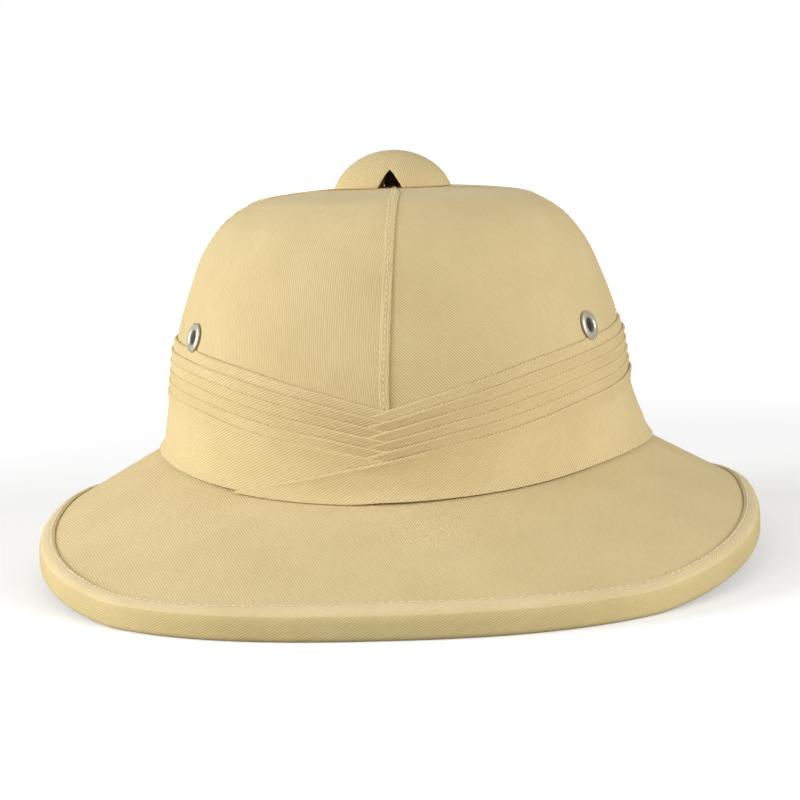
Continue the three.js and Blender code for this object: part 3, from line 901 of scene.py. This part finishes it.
def bindingLines(turns):
    rim = rimRadius(turns)
    lift = rimLift(turns)
    thick = binding["thickness"]
    inset = binding["edgeInset"]
    innerRise = clothSkin + cloth["clearance"]
    outerRise = innerRise + thick
    start = clothSkin - binding["edgeSink"]
    stripEnd = stripRadius(turns)
    ramped = stripEnd + binding["edgeRamp"]
    topHeight = brimHeight(turns, rim - binding["round"]) + outerRise
    underEnd = rim - binding["underWidth"]
    underFace = underHeight(turns, underEnd) - cloth["clearance"]

    def onBrim(radius, rise, corner):
        return radius, brimHeight(turns, radius) + rise, corner

    outer = roundedLine(
        [
            onBrim(stripEnd, start, 0),
            onBrim(stripEnd, innerRise + binding["edgeRise"], binding["edgeCorner"]),
            onBrim(ramped, outerRise - binding["rampDrop"], binding["rampCorner"]),
            (rim, topHeight, binding["topCorner"]),
            (rim, lift, binding["lowCorner"]),
            (levelStart(turns), lift, binding["levelCorner"]),
            (underEnd, underFace - thick, binding["foldCorner"]),
            (underEnd, underFace, 0),
        ]
    )
    innerEnd = underEnd + binding["underInset"]
    corner = binding["innerCorner"]
    inner = roundedLine(
        [
            onBrim(stripEnd + inset, start, 0),
            onBrim(stripEnd + binding["topInset"], innerRise, corner),
            onBrim(ramped, innerRise, corner),
            onBrim(rim - thick, innerRise, binding["innerTopCorner"]),
            (rim - thick, lift + thick, binding["innerLowCorner"]),
            (levelStart(turns), lift + thick, binding["innerLevelCorner"]),
            (innerEnd, underHeight(turns, innerEnd) - cloth["clearance"], corner),
            (underEnd + inset, underFace, 0),
        ]
    )
    return outer, inner


def addBinding():
    turns = roundTurns[:, None]
    outer, inner = [spun(turns, line[..., 0], line[..., 1]) for line in bindingLines(turns)]
    whole = wholeTurns[:, None]
    wholeLine = bindingLines(whole)[0]
    wholeGrid = spun(whole, wholeLine[..., 0], wholeLine[..., 1])
    rimLength = lengthRound(spun(whole, rimRadius(whole), 0.0))
    weave = np.stack([np.broadcast_to(rimLength, wholeLine.shape[:2]), -lengthDown(wholeGrid)], -1)
    material = makeTwill("binding_twill", **binding["weave"], **binding["sideTones"])
    piece = addWall("brim_binding", outer, inner, weave, True, material, ["brim_binding"])
    # painted highlight: the top strip gets a paler copy of the binding twill, standing in for the light
    # that falls straight on it
    paintedLitMaterial = makeTwill("binding_top_twill_painted_light", **binding["weave"], **binding["paintedLitTopTones"])
    paintedLitFaces = np.arange(outer.shape[1] - 1) < binding["topRows"]
    addSecondMaterial(piece, paintedLitMaterial, 0, np.tile(paintedLitFaces, len(turns)))
    return piece


addBrimCover()
addBinding()
print("brim made")


pugaree = {
    "height": 54.0,
    "pleats": 5,
    "lap": 1.4,
    "base": clothSkin + 0.3,
    "thickness": 0.95,
    "thinnest": 0.02,
    "foldRoll": 0.7,
    "lastFoldRow": 1.6,
    "foldShare": 0.9,
    "bandFoldShare": 0.4,
    "leastPleat": 0.6,
    "leastBand": 0.9,
    "pleatRows": 9,
    "bandRows": 22,
    "pleatWaves": {"rise": 0.07, "length": 26, "closer": 2.0},
    "bandWaves": {"rise": 0.12, "length": 44, "closer": 1.5},
    "weaveShift": (37.0, 3.1),  # each pleat shows another part of the cloth
    "backEnd": 360.8,  # the lays end just past the front
    "crossingAngle": 6.0,
    "crossingDrop": 3.3,
    "crossingRaise": 0.38,
    "crossingFade": 7.0,
    "frontStep": 1.25,  # how far each pleat's top edge stands out over the one above it
    "rightStep": 0.85,
    "leftStep": 0.72,
    "stepFade": 42.0,
    "puffPlace": 0.7,
    "puffWidth": 0.8,
    "edgePuff": 0.2,
    "pressedLift": 0.42,
    "pressedThickness": 0.6,
    "pressedReach": 3.5,
    "tailAngle": 32.0,
    "tailRaise": 1.0,
    "tailFade": 14.0,
    "tailPuff": 0.3,
    "tailPuffFade": 10.0,
    "tailDrop": 0.7,
    "tailDropFade": 8.0,
    "footGap": 0.55,
    "footFlare": 2.2,
    "footRoll": 0.8,
    "flareHeight": 5.0,
    "bandLean": 5.5,
    "bandStep": 1.2,
    "leftBandStep": 0.75,
    "rightFlare": 3.6,
    "rightFlareTurn": 90,
    "rightFlareHeight": 22.0,
    "rightFlareReach": 48.0,
    "rightFlareDrop": 0.55,
    "rightRise": 2.2,
    "rightRiseTurn": 95.0,
    "rightRiseReach": 40.0,
    "ribAngle": 29,
    "bandRibAngle": 31,
    "ribContrast": 0.82,
    "shape": [
        {"turn": 0, "top": 0.596, "band": 0.267},
        {"turn": 12, "top": 0.707, "band": 0.352},
        {"turn": 22, "top": 0.789, "band": 0.407},
        {"turn": 32, "top": 0.865, "band": 0.4685},
        {"turn": 45, "top": 0.928, "band": 0.546},
        {"turn": 60, "top": 0.976, "band": 0.596},
        {"turn": 90, "top": 1, "band": 0.634},
        {"turn": 180, "top": 1, "band": 0.634},
    ],
}


def bandFoot(turn):
    return footHeight(turn) + pugaree["footGap"]


# The top edge of a lay: 0 to 4 for the pleats, 5 for the band.
def pugareeEdge(turn, edge):
    away = np.mod(turn, 360)
    away = np.minimum(away, 360 - away)
    top = along(pugaree["shape"], "turn", "top", away)
    band = along(pugaree["shape"], "turn", "band", away)
    atRight = np.abs(turnFrom(turn, pugaree["rightRiseTurn"]))
    rise = pugaree["rightRise"] * smoothStep(1 - atRight / pugaree["rightRiseReach"])
    return bandFoot(0.0) + rise + pugaree["height"] * (top + (band - top) * edge / pugaree["pleats"])


# Near an eyelet the top pleat is pressed down under the flange.
def pressedShare(turn, height):
    share = np.ones(np.broadcast(turn, height).shape)
    for place in eyeletPlaces.values():
        across = np.radians(turnFrom(turn, place)) * wallRadius(place, eyelet["height"])
        distance = np.hypot(across, height - eyelet["height"]) - eyelet["flangeRadius"]
        share = np.minimum(share, smoothStep(distance / pugaree["pressedReach"]))
    return share


# A value that is one number on the left of the hat and another on its right.
def leftToRight(turn, left, right):
    return left + (right - left) * (0.5 + 0.5 * np.sin(np.radians(turn)))


def pleatStep(turn):
    atFront = smoothStep(1 - np.abs(turnFrom(turn)) / pugaree["stepFade"])
    side = leftToRight(turn, pugaree["leftStep"], pugaree["rightStep"])
    return side + (pugaree["frontStep"] - side) * atFront


# 1 up to the front, falling to 0 at a turn past it.
def frontShare(turn, fade):
    return smoothStep((fade - turn) / fade)


# A folded edge is a little thicker than the cloth below it.
def puff(distance, amount):
    return amount * np.exp(-(((distance - pugaree["puffPlace"]) / pugaree["puffWidth"]) ** 2))


# Rows that are closer together towards a folded edge.
foldRows = pugaree["foldRoll"] * (1 - np.cos(np.linspace(0, 1, 6) * np.pi / 2))


def layWaves(turns, heights, row, seed):
    return row["rise"] * unevenness(footArc(turns), heights * row["closer"], row["length"], seed)


def addLay(name, turns, heights, innerLift, outerLift, weave, ribAngle):
    outer = offWall(turns, heights, outerLift)
    inner = offWall(turns, heights, np.minimum(innerLift, outerLift - pugaree["thinnest"]))
    material = makeTwill(name + "_twill", ribAngle, ribContrast=pugaree["ribContrast"])
    return addWall(name, outer, inner, weave, False, material, [name])


def addPleat(pleat):
    crossing = pugaree["crossingAngle"]
    turns = steps((-crossing, 0, 14), (0, 12, 14), (12, 348, 224), (348, pugaree["backEnd"], 14))
    turns = turns[:, None]
    ownEdge = pugareeEdge(turns, pleat - 1)
    dropped = pugareeEdge(0.0, pleat - 1) + pugaree["crossingDrop"] * turns / crossing
    cover = pugareeEdge(turns, pleat)
    foot = cover - pugaree["lap"]
    top = np.maximum(np.where(turns < 0, dropped, ownEdge), foot + pugaree["leastPleat"])
    tall = top - foot
    near = np.append(foldRows, pugaree["lastFoldRow"] * pugaree["foldRoll"])[None, :]
    near = np.minimum(near, pugaree["foldShare"] * tall)
    lower = near[:, -1:] + (tall - near[:, -1:]) * np.linspace(0, 1, pugaree["pleatRows"])[1:]
    fromTop = np.concatenate([near, lower], axis=1)
    heights = top - fromTop
    lean = 0.0 if pleat == 1 else pleatStep(turns) / (ownEdge - cover)
    overlap = pugaree["crossingRaise"] * frontShare(turns, pugaree["crossingFade"])
    innerLift = pugaree["base"] + lean * (heights - foot) + overlap
    outerLift = innerLift + pugaree["thickness"] - rolled(fromTop, pugaree["foldRoll"])
    outerLift = outerLift + puff(fromTop, pugaree["edgePuff"])
    outerLift = outerLift + layWaves(turns, heights, pugaree["pleatWaves"], 40 + pleat)
    if pleat == 1:
        pressed = pressedShare(turns, heights)
        low = clothSkin + pugaree["pressedLift"]
        lowest = low - pugaree["pressedThickness"]
        outerLift = low + (outerLift - low) * pressed
        innerLift = lowest + (innerLift - lowest) * pressed
    shift, drop = np.array(pugaree["weaveShift"]) * pleat
    weave = np.stack([np.broadcast_to(footArc(turns) + shift, heights.shape), drop - fromTop], -1)
    name = "pugaree_fold_%d" % pleat
    return addLay(name, turns, heights, innerLift, outerLift, weave, pugaree["ribAngle"])


# The band stands further out over the brim on the right side.
def rightFlare(turn):
    away = np.abs(turnFrom(turn, pugaree["rightFlareTurn"]))
    return pugaree["rightFlare"] * smoothStep(1 - away / pugaree["rightFlareReach"])


def bandLift(turns, heights, foot):
    fromTop = pugareeEdge(turns, pugaree["pleats"]) - heights
    step = leftToRight(turns, pugaree["leftBandStep"], pugaree["bandStep"])
    leanRise = step * pugaree["bandLean"] / (pugaree["bandLean"] - pugaree["lap"])
    lean = leanRise * np.maximum(0, 1 - fromTop / pugaree["bandLean"])
    share = np.maximum(0, 1 - (heights - foot) / pugaree["flareHeight"])
    flare = rightFlare(turns) * smoothStep(1 - (heights - foot) / pugaree["rightFlareHeight"])
    return pugaree["base"] + np.maximum(lean, pugaree["footFlare"] * share**2) + flare


def addBand():
    tail = pugaree["tailAngle"]
    backEnd = pugaree["backEnd"]
    turns = steps((-tail, 4 - tail, 12), (4 - tail, 0, 40), (0, 12, 12), (12, 345, 222), (345, backEnd, 16))
    turns = turns[:, None]
    tailDrop = pugaree["tailDrop"] * smoothStep(-turns / pugaree["tailDropFade"])
    foot = bandFoot(turns) - tailDrop - pugaree["rightFlareDrop"] * rightFlare(turns)
    middleTop = pugareeEdge(0.0, pugaree["pleats"])
    tailTop = middleTop + (bandFoot(tail) - middleTop) * -turns / tail
    top = np.where(turns < 0, tailTop, pugareeEdge(turns, pugaree["pleats"]))
    top = np.maximum(top, foot + pugaree["leastBand"])
    roll = pugaree["foldRoll"]
    tall = top - foot
    near = np.minimum(foldRows[None, :], pugaree["bandFoldShare"] * tall)
    far = tall - near[:, ::-1]
    shares = np.linspace(0, 1, pugaree["bandRows"])[1:-1]
    middle = near[:, -1:] + (far[:, :1] - near[:, -1:]) * shares
    fromTop = np.concatenate([near, middle, far], axis=1)
    heights = top - fromTop
    lift = bandLift(turns, heights, foot)
    lift = np.where(turns < 0, np.minimum(lift, pugaree["base"] + pugaree["footFlare"]), lift)
    innerLift = lift + pugaree["tailRaise"] * frontShare(turns, pugaree["tailFade"])
    rolls = rolled(fromTop, roll) + rolled(heights - foot, roll) * pugaree["footRoll"]
    puffed = puff(fromTop, pugaree["tailPuff"]) * frontShare(turns, pugaree["tailPuffFade"])
    outerLift = innerLift + pugaree["thickness"] - rolls + puffed
    outerLift = outerLift + layWaves(turns, heights, pugaree["bandWaves"], 91)
    edge = pugareeEdge(np.maximum(turns, 0), pugaree["pleats"])
    weave = np.stack([np.broadcast_to(footArc(turns), heights.shape), heights - edge], -1)
    return addLay("pugaree_band", turns, heights, innerLift, outerLift, weave, pugaree["bandRibAngle"])


for pleatNumber in range(1, pugaree["pleats"] + 1):
    addPleat(pleatNumber)
addBand()
print("pugaree made")


cap = {
    "radius": (capHigh[0] - capLow[0]) / 2,
    "height": capHigh[2] - capLow[2],
    "seat": capLow[2],
    "wall": 1.6,
    "edgeAngle": 20,  # the dome is the part of an ellipse above this angle
    "edgeDrop": 0.6,
    "archHalfWidth": 5.2,
    "archHeight": 7.3,
    "rearArchHeight": 5.4,
    "archPower": 1.5,
    "edgeRoll": 0.5,
    "topHole": 0.02,
    "rows": 34,
    "archColumns": 41,
    "sideColumns": 60,
    "ribAngle": 108,
    "tones": {"lightTone": linear(231, 211, 160), "deepTone": linear(197, 174, 119)},
}


def addCap():
    arch = np.degrees(np.arcsin(cap["archHalfWidth"] / cap["radius"]))
    near = np.linspace(-arch, arch, cap["archColumns"])
    side = np.linspace(arch, 180 - arch, cap["sideColumns"])[1:-1]
    turns = np.concatenate([near, side, 180 + near, 180 + side])[:, None]
    rows = np.linspace(0, 1, cap["rows"])[None, :]

    def dome(inset):
        edgeAngle = np.radians(cap["edgeAngle"])
        wide = (cap["radius"] - inset) / np.cos(edgeAngle)
        tall = (cap["height"] - inset) / (1 - np.sin(edgeAngle))
        middle = cap["height"] - inset - tall
        across = np.abs(np.sin(np.radians(turns))) * cap["radius"] / cap["archHalfWidth"]
        tallest = np.where(isFront(turns), cap["archHeight"], cap["rearArchHeight"])
        border = np.arcsin((tallest * np.maximum(0, 1 - across ** cap["archPower"]) - middle) / tall)
        angle = border + (np.pi / 2 - border) * rows
        return np.maximum(wide * np.cos(angle), cap["topHole"]), middle + tall * np.sin(angle)

    outRadius, outHeight = dome(0.0)
    inRadius, inHeight = dome(cap["wall"])
    fromEdge = lengthDown(np.stack([outRadius, outHeight], -1))
    roll = rolled(fromEdge, cap["edgeRoll"])
    sink = cap["edgeDrop"] * (1 - rows) ** 2
    outHeight = outHeight - roll * outHeight / cap["height"] - sink
    outer = spun(turns, outRadius * (1 - roll / cap["radius"]), cap["seat"] + outHeight)
    inner = spun(turns, inRadius, cap["seat"] + inHeight - sink)
    fromTop = fromEdge[:, -1:] - fromEdge
    wholeRound = np.concatenate([turns, turns[:1] + 360])
    weave = spun(wholeRound, np.concatenate([fromTop, fromTop[:1]]), 0.0)[..., :2]
    material = makeTwill("button_twill", cap["ribAngle"], **cap["tones"])
    piece = addWall("top_button", outer, inner, weave, True, material, ["top_button"])
    innerFaces = len(turns) * (cap["rows"] - 1)
    addSecondMaterial(piece, capInsideGlow, innerFaces, np.ones(innerFaces, int))
    return piece


addCap()
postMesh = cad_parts["button_post"]
postMesh.data.materials.clear()
postMesh.data.materials.append(steel)
print("vent cap made")


stitch = {
    "width": 0.55,
    "flatness": 0.8,
    "rise": 0.28,
    "sink": 0.08,
    "endShare": 0.08,
    "sides": 8,
    "rings": 5,
    "wander": 0.12,
    "slant": 0.08,
    "lookAhead": 0.6,  # how far along the line its direction is taken
    "bindingLength": 2.3,
    "bindingGap": 1.0,
    "bindingInset": 1.3,
    "bindingDip": 0.22,
    "underInset": 1.5,
    "seamLength": 1.7,
    "seamGap": 0.7,
    "seamRises": (0.28, 0.985),
}


# Threads along a line of points: each stitch is a short rounded lump that sinks in at both ends.
def addStitches(name, line, outs, length, gap, slotName):
    walked = lengthDown(line[None])[0]
    count = int((walked[-1] - gap) // (length + gap))
    rng = np.random.default_rng(len(name))
    sides = stitch["sides"]
    angles = np.arange(sides) * 2 * np.pi / sides
    points = []
    faces = []

    def at(place, values):
        return np.array([np.interp(place, walked, values[:, k]) for k in range(3)])

    for start in np.arange(count) * (walked[-1] / count):
        middle = start + length / 2 + rng.uniform(-stitch["wander"], stitch["wander"])
        centre = at(middle, line)
        out = at(middle, outs)
        out /= np.linalg.norm(out)
        forward = at(middle + stitch["lookAhead"], line) - at(middle - stitch["lookAhead"], line)
        forward /= np.linalg.norm(forward)
        side = np.cross(out, forward)
        forward = forward + side * rng.uniform(-stitch["slant"], stitch["slant"])
        base = len(points)
        for s in np.linspace(-1, 1, stitch["rings"]):
            reach = stitch["width"] / 2 * max(stitch["endShare"], np.sqrt(1 - s * s))
            rise = stitch["rise"] * (1 - s * s) - stitch["sink"]
            spot = centre + forward * s * length / 2 + out * rise
            for a in angles:
                points.append(spot + (side * np.cos(a) + out * np.sin(a) * stitch["flatness"]) * reach)
        for low in range(base, len(points) - sides, sides):
            high = low + sides
            for j in range(sides):
                k = (j + 1) % sides
                faces.append([low + j, low + k, high + k, high + j])
    weave = np.zeros((len(faces), 4, 2))
    return addPiece(name, np.array(points), np.array(faces), weave, thread)


def addBindingStitches():
    turns = np.linspace(0, 360, 721)
    sizes = (stitch["bindingLength"], stitch["bindingGap"], "binding_cloth")
    stripEnd = stripRadius(turns)
    radius = stripEnd + stitch["bindingInset"]
    rise = clothSkin + cloth["clearance"] + binding["thickness"] - stitch["bindingDip"]
    shoulder = rimRadius(turns) - binding["round"]
    slope = (brimHeight(turns, shoulder) - brimHeight(turns, stripEnd)) / (shoulder - stripEnd)
    line = spun(turns, radius, brimHeight(turns, radius) + rise)
    outs = spun(turns, -slope, 1.0) - [0, axisY, 0]
    addStitches("binding_stitches", line, outs, *sizes)
    low = rimRadius(turns) - binding["underWidth"] + stitch["underInset"]
    lowLine = spun(turns, low, underHeight(turns, low) - cloth["clearance"] - binding["thickness"])
    lowOuts = spun(turns, 0.0, -1.0) - [0, axisY, 0]
    addStitches("under_stitches", lowLine, lowOuts, *sizes)


def addSeamStitches():
    count = 160
    rises = np.linspace(*stitch["seamRises"], count)
    lift = panelLift(np.full(count, panel["stitchInset"]))
    for name, start in (("front", 0), ("right", 90), ("rear", 180), ("left", 270)):
        turns = panelTurns(np.full(count, float(start)), panel["lapReach"] - panel["stitchInset"], rises)
        line = crownSurface(turns, rises, lift)
        outs = crownSurface(turns, rises, lift + 1) - line
        sizes = (stitch["seamLength"], stitch["seamGap"], "crown_cloth")
        addStitches("crown_stitches_" + name, line, outs, *sizes)


addBindingStitches()
addSeamStitches()
print("stitches made")


view = {
    "azimuth": 3.14,
    "elevation": 5.75,
    "roll": -2.12,
    "distance": 946.4,
    "focal": 105.65,
    "targetHeight": 70,
    "aimSide": -0.27,
    "aimDrop": 11.8,
}


def addCamera():
    azimuth, elevation, roll = np.radians([view["azimuth"], view["elevation"], view["roll"]])
    level = np.cos(elevation)
    back = Vector((np.sin(azimuth) * level, -np.cos(azimuth) * level, np.sin(elevation)))
    target = Vector((0, axisY, view["targetHeight"])) * mm
    place = target + back * view["distance"] * mm
    aim = target + Vector((view["aimSide"], 0, -view["aimDrop"])) * mm
    away = (place - aim).normalized()
    right = (-away).cross(Vector((0, 0, 1))).normalized()
    up = right.cross(-away)
    rolledRight = right * np.cos(roll) + up * np.sin(roll)
    rolledUp = -right * np.sin(roll) + up * np.cos(roll)
    data = bpy.data.cameras.new("camera")
    data.lens = view["focal"]
    data.sensor_width = 36
    camera = addObject("camera", data)
    basis = Matrix((rolledRight, rolledUp, away)).transposed().to_4x4()
    camera.matrix_world = Matrix.Translation(place) @ basis
    bpy.context.scene.camera = camera


# Places and sizes of the lamps and of the floor are in metres.
lamps = {
    "key": {"place": (-1.2, -1.3, 0.9), "size": 1.2, "power": 4.8},
    "side": {"place": (-1.6, -0.3, 0.5), "size": 1.0, "power": 26.0},
    "fill": {"place": (1.5, -0.8, 0.6), "size": 1.2, "power": 22.2},
}
lampAim = (0, 0, 0.08)


def addLamp(name, place, size, power):
    data = bpy.data.lights.new(name, "AREA")
    data.shape = "SQUARE"
    data.size = size
    data.energy = power
    lamp = addObject(name, data)
    lamp.location = place
    lamp.rotation_euler = (Vector(lampAim) - Vector(place)).to_track_quat("-Z", "Y").to_euler()


sky = {
    "wallStrength": 0.225,  # the sky near the horizon, as studio walls
    "ceilingStrength": 0.37,
    "wallEnd": 0.25,
    "ceilingStart": 0.9,
    "seenStrength": 1.0,
}


def addSky():
    world = bpy.data.worlds.new("studio")
    bpy.context.scene.world = world
    world.use_nodes = True
    tree = world.node_tree
    place = tree.nodes.new("ShaderNodeTexCoord")
    split = tree.nodes.new("ShaderNodeSeparateXYZ")
    tree.links.new(place.outputs["Generated"], split.inputs["Vector"])
    strengths = (sky["wallStrength"], sky["ceilingStrength"])
    ramp = addRamp(tree, split.outputs["Z"], sky["wallEnd"], sky["ceilingStart"], *strengths)
    path = tree.nodes.new("ShaderNodeLightPath")
    strength = tree.nodes.new("ShaderNodeMix")
    tree.links.new(path.outputs["Is Camera Ray"], strength.inputs["Factor"])
    tree.links.new(ramp, strength.inputs["A"])
    setInputs(strength, {"B": sky["seenStrength"]})
    background = tree.nodes["Background"]
    setInputs(background, {"Color": (1, 1, 1, 1)})
    tree.links.new(strength.outputs["Result"], background.inputs["Strength"])


ground = {
    "reach": 8.0,
    "tone": (0.9, 0.9, 0.9, 1),
    "bounceTone": (0.4, 0.4, 0.4, 1),  # as the hat sees it
    "roughness": 0.9,
    "specular": 0.1,
    "nearGlow": 0.3,  # the floor is seen whiter further from the hat
    "farGlow": 1.1,
    "glowStart": 0.3,
    "glowEnd": 1.2,
}


def addFloor():
    reach = ground["reach"]
    mesh = bpy.data.meshes.new("floor")
    corners = [(-reach, -reach, 0), (reach, -reach, 0), (reach, reach, 0), (-reach, reach, 0)]
    mesh.from_pydata(corners, [], [(0, 1, 2, 3)])
    floor = addObject("floor", mesh)
    material, tree, shader = newMaterial("pale_floor")
    path = tree.nodes.new("ShaderNodeLightPath")
    seen = path.outputs["Is Camera Ray"]
    tree.links.new(mixTones(tree, seen, ground["bounceTone"], ground["tone"]), shader.inputs["Base Color"])
    setInputs(
        shader,
        {
            "Roughness": ground["roughness"],
            "Specular IOR Level": ground["specular"],
            "Emission Color": (1, 1, 1, 1),
        },
    )
    place = tree.nodes.new("ShaderNodeTexCoord")
    away = tree.nodes.new("ShaderNodeVectorMath")
    away.operation = "LENGTH"
    tree.links.new(place.outputs["Object"], away.inputs[0])
    glows = (ground["nearGlow"], ground["farGlow"])
    ramp = addRamp(tree, away.outputs["Value"], ground["glowStart"], ground["glowEnd"], *glows)
    tree.links.new(mathNode(tree, "MULTIPLY", seen, ramp), shader.inputs["Emission Strength"])
    mesh.materials.append(material)


addCamera()
addSky()
for lampName, lampRow in lamps.items():
    addLamp(lampName, **lampRow)
addFloor()
bpy.context.scene.view_settings.view_transform = "Standard"
print("camera, light and floor made")
